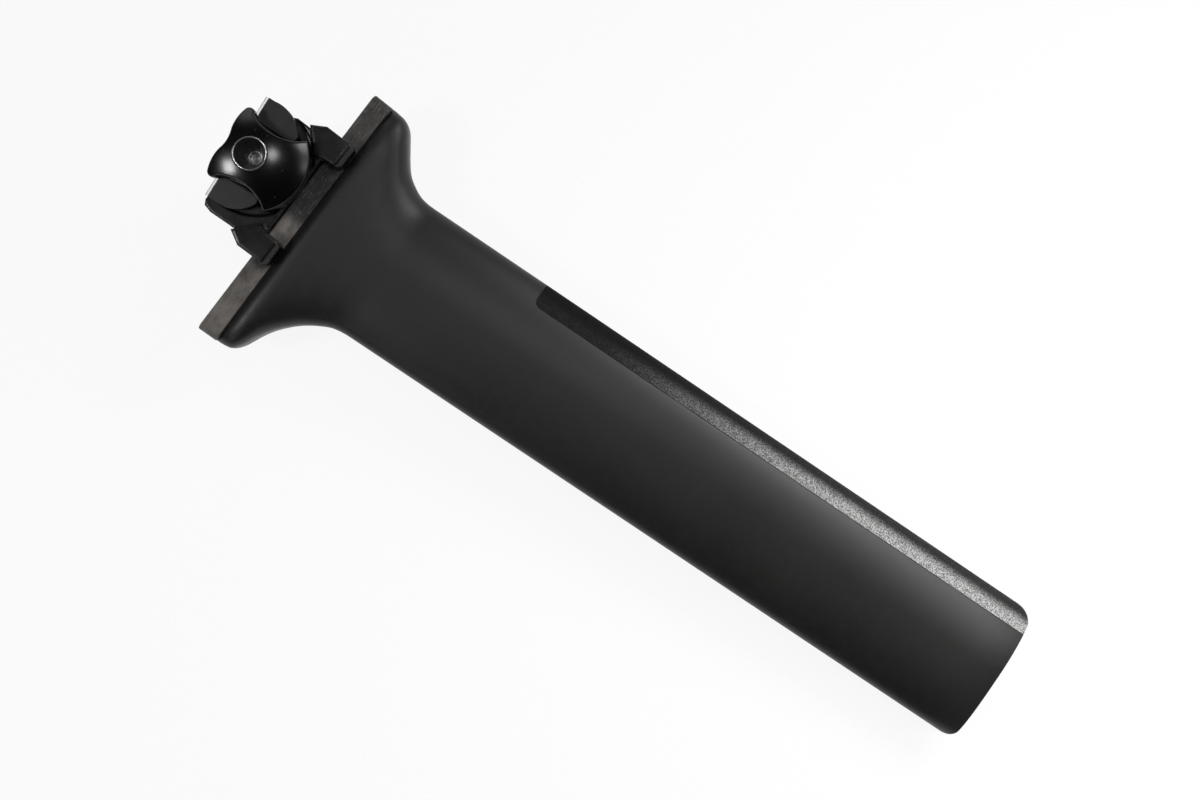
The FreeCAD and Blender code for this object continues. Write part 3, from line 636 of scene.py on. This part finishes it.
@dataclass(frozen=True)
class Studio:
    """White table, soft lamps and the camera straight above the part.

    axis_right is how far right a step along the photograph's x axis leads in the row's
    frame. The world is white up to the first sine of horizon and dark from the second.
    """

    lens_mm: float = 43.14
    sensor_mm: float = 36.0
    camera_height_mm: float = 589.0
    camera_below_rail_mm: float = 145.2
    camera_ahead_mm: float = 4.26
    axis_right: float = 0.82997
    overhead: float = 0.03
    horizon: Pair = (0.1, 0.24)
    table_reach: float = 3.0
    table_drop: float = 0.0002
    table_grey: float = 0.9
    table_glow: float = 0.9
    lamp_list: tuple[Lamp, ...] = (
        Lamp("left", -0.627, -0.014, 0.948, 0.2, 3.0),
        Lamp("right", 0.122, 0.189, 1.045, 0.17, 1.2),
        Lamp("end", 0.45, 0.3, 0.4, 0.3, 0.95, 80.0, 0.22, -0.12),
        Lamp("end_low", 0.55, -0.05, 0.45, 0.3, 0.14, 50.0, 0.22, -0.12),
        Lamp("low_left", -0.505, -0.435, 0.51, 0.2, 0.3),
        Lamp("far_right", 1.2, 0.2, 0.9, 0.7, 1.6),
        Lamp("top", -0.3, 1.3, 0.9, 0.7, 2.0),
    )

    def build(self, blade: Space) -> None:
        """Adds camera, world, table and lamps round the blade."""
        middle = blade.point(0, 0, -self.camera_below_rail_mm)
        self.camera(middle)
        self.world()
        self.table()
        self.lamps(middle)
        bpy.context.scene.view_settings.view_transform = "Standard"

    def picture_axes(self) -> tuple[Vector, Vector]:
        """The photograph's right and up, laid out on the table."""
        right = Vector((self.axis_right, math.sqrt(1 - self.axis_right ** 2), 0))
        return right, Vector((0, 0, 1)).cross(right)

    def camera(self, middle: Vector) -> None:
        """Looks straight down, with the blade running to the lower right as in the photograph.

        Args:
            middle: The point of the blade under the camera.
        """
        data = bpy.data.cameras.new("camera")
        data.lens = self.lens_mm
        data.sensor_width = self.sensor_mm
        camera = add_object("camera", data)
        place = middle + Vector((0, self.camera_ahead_mm, self.camera_height_mm)) * MM
        turn = Matrix((*self.picture_axes(), Vector((0, 0, 1)))).transposed()
        camera.matrix_world = Matrix.Translation(place) @ turn.to_4x4()
        bpy.context.scene.camera = camera

    def seen(self, paint: Painter) -> Socket:
        """1 for rays that should see the bare white background, 0 for rays that light the part."""
        path = paint.node("LightPath")
        both = paint.math("MAXIMUM", path.outputs["Is Camera Ray"], path.outputs["Is Glossy Ray"])
        return paint.math("MAXIMUM", both, path.outputs["Is Transmission Ray"])

    def world(self) -> None:
        """White all round at the height of the table, and dark overhead, as in a white studio."""
        world = bpy.data.worlds.new("studio")
        bpy.context.scene.world = world
        world.use_nodes = True
        tree = world.node_tree
        tree.nodes.clear()
        place = tree.nodes.new("ShaderNodeTexCoord")
        axes = tree.nodes.new("ShaderNodeSeparateXYZ")
        height = tree.nodes.new("ShaderNodeMapRange")
        height.interpolation_type = "SMOOTHSTEP"
        for key, value in (("From Min", self.horizon[0]), ("From Max", self.horizon[1]),
                           ("To Min", 1.0), ("To Max", self.overhead)):
            height.inputs[key].default_value = value
        light = tree.nodes.new("ShaderNodeBackground")
        light.inputs["Color"].default_value = (1, 1, 1, 1)
        output = tree.nodes.new("ShaderNodeOutputWorld")
        tree.links.new(place.outputs["Generated"], axes.inputs[0])
        tree.links.new(axes.outputs[2], height.inputs["Value"])
        tree.links.new(height.outputs["Result"], light.inputs["Strength"])
        tree.links.new(light.outputs[0], output.inputs["Surface"])

    def table(self) -> None:
        """A white table that keeps only a faint shadow."""
        mesh = bpy.data.meshes.new("table")
        reach = self.table_reach
        corners = ((-reach, -reach), (reach, -reach), (reach, reach), (-reach, reach))
        mesh.from_pydata([(x, y, -self.table_drop) for x, y in corners], [], [(0, 1, 2, 3)])
        table = add_object("table", mesh)
        paint = Painter("table_white")
        diffuse = paint.node("BsdfDiffuse", {"Color": grey(self.table_grey)})
        glow = paint.node("Emission", {"Color": grey(1.0), "Strength": 1.0})
        factor = paint.math("MULTIPLY", self.seen(paint), self.table_glow)
        mix = paint.node("MixShader", {0: factor, 1: diffuse.outputs[0], 2: glow.outputs[0]})
        paint.tree.links.new(mix.outputs[0], paint.output.inputs["Surface"])
        paint.material.cycles.emission_sampling = "NONE"
        mesh.materials.append(paint.material)

    def lamps(self, middle: Vector) -> None:
        """Places the soft boxes and aims each at its own point of the picture.

        Args:
            middle: The point of the blade at the middle of the picture.
        """
        right, up = self.picture_axes()
        for lamp in self.lamp_list:
            data = bpy.data.lights.new(lamp.name, "AREA")
            data.energy = lamp.watts
            data.size = lamp.size
            data.spread = math.radians(lamp.spread_deg)
            light = add_object(lamp.name, data)
            light.location = (middle + right * lamp.right + up * lamp.ahead
                              + Vector((0, 0, lamp.height)))
            target = middle + right * lamp.aim_right + up * lamp.aim_ahead
            light.rotation_euler = (target - light.location).to_track_quat("-Z", "Y").to_euler()


def finish_mesh(mesh: bmesh.types.BMesh, name: str, sharp_deg: float = 32.0) -> Object:
    """Turns a mesh into a smooth-shaded object whose sharp edges stay sharp.

    Args:
        mesh: The finished mesh, which is used up.
        name: The object's name.
        sharp_deg: The angle over which an edge stays sharp.

    Returns:
        The object, at the origin.
    """
    for face in mesh.faces:
        face.smooth = True
    for edge in mesh.edges:
        edge.smooth = not edge.is_manifold or edge.calc_face_angle(0.0) < math.radians(sharp_deg)
    return to_object(mesh, name)


def even_normals(piece: Object) -> None:
    """Lets the large flat faces set the shading, so that rounded edges catch the light cleanly."""
    modifier = piece.modifiers.new("even_normals", "WEIGHTED_NORMAL")
    modifier.keep_sharp = True
    modifier.weight = 100


@dataclass(frozen=True)
class Rounding:
    """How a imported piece's hard edges are rounded. Its lengths are millimetres.

    Edges nearer to the cross bolt than clear_radius stay sharp, because the drum's and the
    socket's teeth are there, and so do short ones and ones that bend less than hard_deg.
    """

    radius: float
    clear_radius: float
    hard_deg: float = 24.0
    shortest: float = 0.5
    segments: int = 3
    profile: float = 0.6
    same_place: float = 0.001
    flat_deg: float = 0.6

    def copy(self, node: str, name: str, bolt: Space) -> Object:
        """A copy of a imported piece, joined into whole flat faces and then rounded.

        Args:
            node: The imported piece's name.
            name: The new piece's name.
            bolt: The cross bolt's frame.

        Returns:
            The new piece.
        """
        mesh = bmesh.new()
        mesh.from_mesh(bpy.data.objects[node].data)
        bmesh.ops.remove_doubles(mesh, verts=mesh.verts, dist=self.same_place * MM)
        bmesh.ops.dissolve_limit(mesh, angle_limit=math.radians(self.flat_deg), verts=mesh.verts,
                                 edges=mesh.edges)
        back = bolt.matrix().inverted()
        chosen = []
        for edge in mesh.edges:
            if not edge.is_manifold or edge.calc_face_angle(0.0) < math.radians(self.hard_deg):
                continue
            middle = back @ ((edge.verts[0].co + edge.verts[1].co) / 2) / MM
            outside = math.hypot(middle.x, middle.z) >= self.clear_radius
            if outside and edge.calc_length() > self.shortest * MM:
                chosen.append(edge)
        bmesh.ops.bevel(mesh, geom=chosen, offset=self.radius * MM, offset_type="OFFSET",
                        segments=self.segments, profile=self.profile, affect="EDGES",
                        clamp_overlap=True)
        piece = finish_mesh(mesh, name)
        even_normals(piece)
        return piece


@dataclass(frozen=True)
class Section:
    """A section across the post: its depth under the rail, its reach each way, half its width."""

    depth: float
    ahead: float
    behind: float
    half: float


@dataclass
class Post:
    """The hollow blade with its flared head, and the dovetail rail on top.

    Lengths are millimetres. A power is how square a section's nose, tail or head is. In
    rail_edge each pair is a ring's height and its inset, and makes the rail's top edge.
    """

    spaces: Spaces
    reach: float = BLADE_REACH
    wall: float = 2.2
    thickest_at: float = 1.5
    tail_taper: float = 0.15
    nose_power: float = 2.0
    tail_power: float = 4.0
    head_power: float = 4.6
    rail_tilt: float = 3.35
    carriage_at: float = 4.1
    rail_front: float = 55.1
    rail_rear: float = 61.1
    rail_half: float = 12.5
    rail_depth: float = 8.2
    rail_undercut: float = 2.1
    rail_corner: float = 3.0
    smallest_corner: float = 0.4
    corner_front: float = 6.5
    corner_rear: float = 4.8
    corner_run: float = 40.0
    hollow_top: float = 22.0
    lip: float = 0.6
    sharp_deg: float = 50.0
    around: int = 144
    flare_steps: int = 60
    blade_steps: int = 16
    inside_steps: int = 8
    rail_steps: int = 6
    corner_steps: int = 8
    rail_edge: tuple[Pair, ...] = ((0, 0.6), (-0.06, 0.32), (-0.22, 0.1), (-0.5, 0))
    sections: tuple[Section, ...] = (
        Section(47.0, 31.1, 31.1, 11.0),
        Section(40.0, 31.7, 31.9, 11.1),
        Section(35.0, 33.8, 34.2, 11.3),
        Section(30.0, 37.2, 37.5, 11.5),
        Section(26.0, 41.8, 41.2, 11.8),
        Section(22.0, 47.2, 46.1, 12.1),
        Section(19.0, 51.1, 51.4, 12.4),
        Section(16.5, 53.2, 57.3, 12.6),
        Section(14.0, 54.2, 60.8, 12.8),
        Section(11.5, 54.6, 61.6, 12.6),
        Section(9.3, 54.9, 61.8, 11.6),
        Section(7.4, 55.0, 61.8, 10.0),
    )

    def section_at(self, depth: float) -> Section:
        """Reads the post's section at any depth, on smooth curves through the named ones.

        Args:
            depth: How far below the rail's top.

        Returns:
            The section there.
        """
        if depth >= self.sections[0].depth:
            return replace(self.sections[0], depth=depth)
        places = [-section.depth for section in self.sections]
        spot = max(index for index, place in enumerate(places[:-1]) if place <= -depth)
        share = (-depth - places[spot]) / (places[spot + 1] - places[spot])
        values = []
        for key in ("ahead", "behind", "half"):
            heights = [getattr(section, key) for section in self.sections]
            values.append(smooth_between(places, heights, spot, share))
        return Section(depth, *values)

    def ring(self, depth: float, inset: float = 0.0) -> list[Vector]:
        """One closed ring of points round the post.

        Args:
            depth: How far below the rail's top.
            inset: How far inside the outer skin.

        Returns:
            The points, in the row's frame.
        """
        section = self.section_at(depth)
        start, top = self.sections[0].depth, self.sections[-1].depth
        share = max(0.0, (start - depth) / (start - top))
        rise = share * share * (3 - 2 * share)
        tilt = math.radians(self.rail_tilt * share)
        front, rear = section.ahead - inset, section.behind - inset
        half = section.half - inset
        middle = self.thickest_at * (1 - rise) + (front - rear) / 2 * rise
        nose = self.nose_power * (1 - rise) + self.head_power * rise
        tail = self.tail_power * (1 - rise) + self.head_power * rise
        points = []
        for step in range(self.around):
            angle = 2 * math.pi * step / self.around
            along, aside = math.cos(angle), math.sin(angle)
            power = nose if along >= 0 else tail
            out = abs(along) ** (2 / power)
            width = half * math.copysign(abs(aside) ** (2 / power), aside)
            if along >= 0:
                x = middle + (front - middle) * out
            else:
                x = middle - (middle + rear) * out
                width *= 1 - self.tail_taper * (1 - rise) * out ** 2
            z = self.carriage_at * math.tan(tilt) - depth - x * math.sin(tilt)
            run = depth - self.reach + self.corner_run
            if run > 0:
                z += self.corner_drop(x) * run / self.corner_run
            points.append(self.spaces.blade.point(x * math.cos(tilt), width, z))
        return points

    def corner_drop(self, x: float) -> float:
        """How much shorter the cut end is at a place across it, where its corners are rounded."""
        edge = self.sections[0].ahead
        radius = self.corner_front if x > 0 else self.corner_rear
        past = max(0.0, abs(x) - (edge - radius))
        return radius - math.sqrt(max(0.0, radius ** 2 - past ** 2))

    def rings_between(self, first: float, last: float, count: int,
                      inset: float = 0.0) -> list[list[Vector]]:
        """Rings in even steps from one depth to another, without the first."""
        return [self.ring(first + (last - first) * step / count, inset)
                for step in range(1, count + 1)]

    def shell(self) -> Object:
        """Outside, rounded cut end and inside of the blade, and the flared head."""
        start, top, end = self.sections[0].depth, self.sections[-1].depth, self.reach
        rings = [self.ring(top - 0.4, 1.2), self.ring(top)]
        rings += self.rings_between(top, start, self.flare_steps)
        rings += self.rings_between(start, end - self.lip, self.blade_steps)
        rings += [self.ring(end - 0.18, 0.18), self.ring(end, self.lip)]
        rings += [self.ring(end, self.wall - 0.4), self.ring(end - 0.3, self.wall)]
        rings += self.rings_between(end, start, self.inside_steps, self.wall)
        rings += self.rings_between(start, self.hollow_top, self.inside_steps, self.wall)
        return finish_mesh(skin(rings), "post_shell", self.sharp_deg)

    def rail_ring(self, height: float, inset: float = 0.0) -> list[Vector]:
        """One rounded rectangle round the rail.

        Args:
            height: Above the rail's top, so below it where negative.
            inset: How far inside the rail's own skin.

        Returns:
            The points, in the row's frame.
        """
        half = self.rail_half + height / self.rail_depth * self.rail_undercut - inset
        front = self.rail_front - self.carriage_at - inset
        rear = self.rail_rear + self.carriage_at - inset
        corner = max(self.rail_corner - inset, self.smallest_corner)
        points = []
        for x, y, start in ((front, half, 0), (-rear, half, 90), (-rear, -half, 180),
                            (front, -half, 270)):
            centre_x = x - math.copysign(corner, x)
            centre_y = y - math.copysign(corner, y)
            for step in range(self.corner_steps + 1):
                angle = math.radians(start + 90 * step / self.corner_steps)
                points.append(self.spaces.rail.point(centre_x + corner * math.cos(angle),
                                                     centre_y + corner * math.sin(angle), height))
        return points

    def rail(self) -> Object:
        """The dovetail rail with softened edges."""
        depth = self.rail_depth
        lowest_edge = self.rail_edge[-1][0]
        rings = [self.rail_ring(height, inset) for height, inset in self.rail_edge]
        rings += [self.rail_ring(lowest_edge - (depth - 0.9) * step / self.rail_steps)
                  for step in range(1, self.rail_steps + 1)]
        rings += [self.rail_ring(-depth + 0.12, 0.12), self.rail_ring(-depth, 0.5)]
        return finish_mesh(skin(rings), "dovetail_rail", self.sharp_deg)

    def build(self) -> None:
        """Builds and dresses the post."""
        paint = PostPaint(self.spaces)
        shell, rail = self.shell(), self.rail()
        shell.data.materials.append(paint.material())
        rail.data.materials.append(WornRail(self.spaces).material())
        grit = GritStripe(self.spaces, paint).build(shell)
        for piece in (shell, rail, grit):
            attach(piece, "post")
            report(piece)
        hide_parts("post_body")


def smooth_between(places: Sequence[float], heights: Sequence[float], spot: int,
                   share: float) -> float:
    """Reads a smooth curve through given points between two of them.

    Args:
        places: Rising positions of the points.
        heights: The curve's value at each of them.
        spot: The point before the place that is read.
        share: How far on to the next point, from 0 to 1.

    Returns:
        The curve's value there.
    """
    def slope(index: int) -> float:
        """The curve's slope at a point, from its two neighbours."""
        before, after = max(index - 1, 0), min(index + 1, len(places) - 1)
        return (heights[after] - heights[before]) / (places[after] - places[before])

    step = places[spot + 1] - places[spot]
    first = 0.0 if spot == 0 else slope(spot) * step
    last = slope(spot + 1) * step
    start, end = heights[spot], heights[spot + 1]
    return (start * (2 * share ** 3 - 3 * share ** 2 + 1)
            + first * (share ** 3 - 2 * share ** 2 + share)
            + end * (3 * share ** 2 - 2 * share ** 3) + last * (share ** 3 - share ** 2))


def skin(rings: Sequence[Sequence[Vector]]) -> bmesh.types.BMesh:
    """Joins rings of equal length into a closed skin, with a flat cap at both ends.

    Args:
        rings: The rings, from one end to the other.

    Returns:
        The skin, its faces pointing outwards.
    """
    mesh = bmesh.new()
    rows = [[mesh.verts.new(point) for point in ring] for ring in rings]
    count = len(rows[0])
    for row, following in zip(rows, rows[1:]):
        for index in range(count):
            after = (index + 1) % count
            mesh.faces.new((row[index], row[after], following[after], following[index]))
    mesh.faces.new(list(reversed(rows[0])))
    mesh.faces.new(rows[-1])
    bmesh.ops.recalc_face_normals(mesh, faces=mesh.faces)
    return mesh


@dataclass
class GritStripe:
    """Hard grains strewn over the stripe on the leading edge, made with geometry nodes.

    Lengths are millimetres, and density is in grains for each square metre.
    """

    spaces: Spaces
    paint: PostPaint
    grain_size: float = 0.25
    spacing: float = 0.3
    density: float = 5.0e6
    seed: int = 7
    inset: float = 0.45
    longest_edge: float = 4.0
    cuts: int = 7
    stone_shape: tuple[float, float, float] = (1.0, 0.8, 0.6)
    stone_turns: tuple[float, float, float] = (6.28, 6.28, 6.28)
    stone_sizes: Pair = (0.45, 1.0)

    def patch(self, shell: Object) -> Object:
        """Copies the part of the blade's outer skin that lies inside the stripe.

        Args:
            shell: The blade.

        Returns:
            The patch, as an object of its own.
        """
        mesh = bmesh.new()
        mesh.from_mesh(shell.data)
        back = self.spaces.blade.matrix().inverted()
        long_edges = [edge for edge in mesh.edges if edge.calc_length() > self.longest_edge * MM]
        bmesh.ops.subdivide_edges(mesh, edges=long_edges, cuts=self.cuts, use_grid_fill=True)
        outside = []
        for face in mesh.faces:
            place = back @ face.calc_center_median() / MM
            normal = back.to_3x3() @ face.normal
            inner = normal.x < -0.05 or abs(normal.z) > 0.5
            if inner or not self.paint.stripe.holds(place.x, place.z, self.inset):
                outside.append(face)
        bmesh.ops.delete(mesh, geom=outside, context="FACES")
        return to_object(mesh, "stripe_patch")

    def tree(self) -> bpy.types.NodeTree:
        """Builds the node tree.

        Returns:
            Scattered points, a small stone on each, realized, with their finish.
        """
        tree = bpy.data.node_groups.new("grit_stripe", "GeometryNodeTree")
        for name, kind in (("Geometry", "NodeSocketGeometry"), ("Grain Size", "NodeSocketFloat"),
                           ("Spacing", "NodeSocketFloat"), ("Density", "NodeSocketFloat"),
                           ("Seed", "NodeSocketInt"), ("Finish", "NodeSocketMaterial")):
            tree.interface.new_socket(name, in_out="INPUT", socket_type=kind)
        tree.interface.new_socket("Geometry", in_out="OUTPUT", socket_type="NodeSocketGeometry")
        kinds = {"start": "NodeGroupInput", "end": "NodeGroupOutput",
                 "scatter": "GeometryNodeDistributePointsOnFaces",
                 "stone": "GeometryNodeMeshUVSphere", "flat": "GeometryNodeTransform",
                 "spread": "GeometryNodeInstanceOnPoints", "turns": "FunctionNodeRandomValue",
                 "sizes": "FunctionNodeRandomValue", "real": "GeometryNodeRealizeInstances",
                 "finish": "GeometryNodeSetMaterial"}
        nodes = {key: tree.nodes.new(kind) for key, kind in kinds.items()}
        nodes["scatter"].distribute_method = "POISSON"
        nodes["turns"].data_type = "FLOAT_VECTOR"
        for key, entry, value in (("stone", "Segments", 4), ("stone", "Rings", 2),
                                  ("flat", "Scale", self.stone_shape),
                                  ("turns", 1, self.stone_turns),
                                  ("sizes", 2, self.stone_sizes[0]),
                                  ("sizes", 3, self.stone_sizes[1])):
            nodes[key].inputs[entry].default_value = value
        for source, output, target, entry in (
                ("start", "Geometry", "scatter", "Mesh"),
                ("start", "Spacing", "scatter", "Distance Min"),
                ("start", "Density", "scatter", "Density Max"),
                ("start", "Seed", "scatter", "Seed"), ("start", "Seed", "turns", "Seed"),
                ("start", "Seed", "sizes", "Seed"), ("start", "Grain Size", "stone", "Radius"),
                ("stone", "Mesh", "flat", "Geometry"), ("scatter", "Points", "spread", "Points"),
                ("flat", "Geometry", "spread", "Instance"), ("turns", 0, "spread", "Rotation"),
                ("sizes", 1, "spread", "Scale"), ("spread", "Instances", "real", "Geometry"),
                ("real", "Geometry", "finish", "Geometry"),
                ("start", "Finish", "finish", "Material"),
                ("finish", "Geometry", "end", "Geometry")):
            tree.links.new(nodes[source].outputs[output], nodes[target].inputs[entry])
        return tree

    def build(self, shell: Object) -> Object:
        """Scatters the grains.

        Args:
            shell: The blade on which they lie.

        Returns:
            The grains, as one plain mesh.
        """
        patch, tree = self.patch(shell), self.tree()
        values = {"Grain Size": self.grain_size / 2 * MM, "Spacing": self.spacing * MM,
                  "Density": self.density, "Seed": self.seed,
                  "Finish": GritGrain(self.spaces, self.paint).material()}
        modifier = patch.modifiers.new("grit_stripe", "NODES")
        modifier.node_group = tree
        for socket in tree.interface.items_tree:
            if socket.name in values and socket.in_out == "INPUT":
                modifier[socket.identifier] = values[socket.name]
        depsgraph = bpy.context.evaluated_depsgraph_get()
        data = bpy.data.meshes.new_from_object(patch.evaluated_get(depsgraph))
        bpy.data.objects.remove(patch)
        return add_object("grit_stripe", data)


class Side(Enum):
    """The rider's side on which a half of the clamp sits."""

    RIGHT = "right"
    LEFT = "left"


@dataclass
class ClampHalf:
    """The carriage and cradle of one side, with their machined edges rounded."""

    bolt: Space
    carriage_coat: Material
    cradle_coat: Material
    carriage_rounding: Rounding = Rounding(0.8, 19.5)
    cradle_rounding: Rounding = Rounding(0.4, 12.0)

    def build(self, side: Side) -> None:
        """Builds both pieces of a side."""
        carriage_node, cradle_node = f"carriage_{side.value}", f"cradle_{side.value}"
        carriage = self.carriage_rounding.copy(carriage_node, f"{carriage_node}_coated", self.bolt)
        cradle = self.cradle_rounding.copy(cradle_node, f"{cradle_node}_coated", self.bolt)
        carriage.data.materials.append(self.carriage_coat)
        cradle.data.materials.append(self.cradle_coat)
        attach(carriage, "carriage")
        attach(cradle, "saddle_clamp")
        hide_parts(carriage_node)
        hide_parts(cradle_node)
        report(carriage)
        report(cradle)


def report(piece: Object) -> None:
    """Logs a piece's name and how many faces it has."""
    LOG.info("%s: %d faces", piece.name, len(piece.data.polygons))


def dress(node: str, material: Material) -> None:
    """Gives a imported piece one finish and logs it."""
    piece = bpy.data.objects[node]
    piece.data.materials.clear()
    piece.data.materials.append(material)
    report(piece)


def main() -> None:
    """Builds the studio and dresses every piece."""
    logging.basicConfig(level=logging.INFO)
    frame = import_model()
    spaces = Spaces.from_frame(frame)
    Studio().build(spaces.blade)
    Post(spaces).build()
    matte = CoatedMetal("carriage_coat", level=0.003, blue=0.35, roughness=0.26, grain=0.02,
                        ease=1.6)
    half = ClampHalf(spaces.bolt, matte.material(spaces.rail), CradleCoat().material(spaces.bolt))
    for side in Side:
        half.build(side)
    gloss = CoatedMetal("gloss_coat", level=0.001, blue=0.2, roughness=0.2, grain=0.003, ease=0.4)
    jaw_coat = gloss.material(spaces.bolt)
    for node in ("outer_clamp_right", "outer_clamp_left"):
        dress(node, jaw_coat)
    bolt_finish = TurnedBolt().material(spaces.bolt)
    for node in ("clamp_bolt", "clamp_nut"):
        dress(node, bolt_finish)


if __name__ == "__main__":
    main()
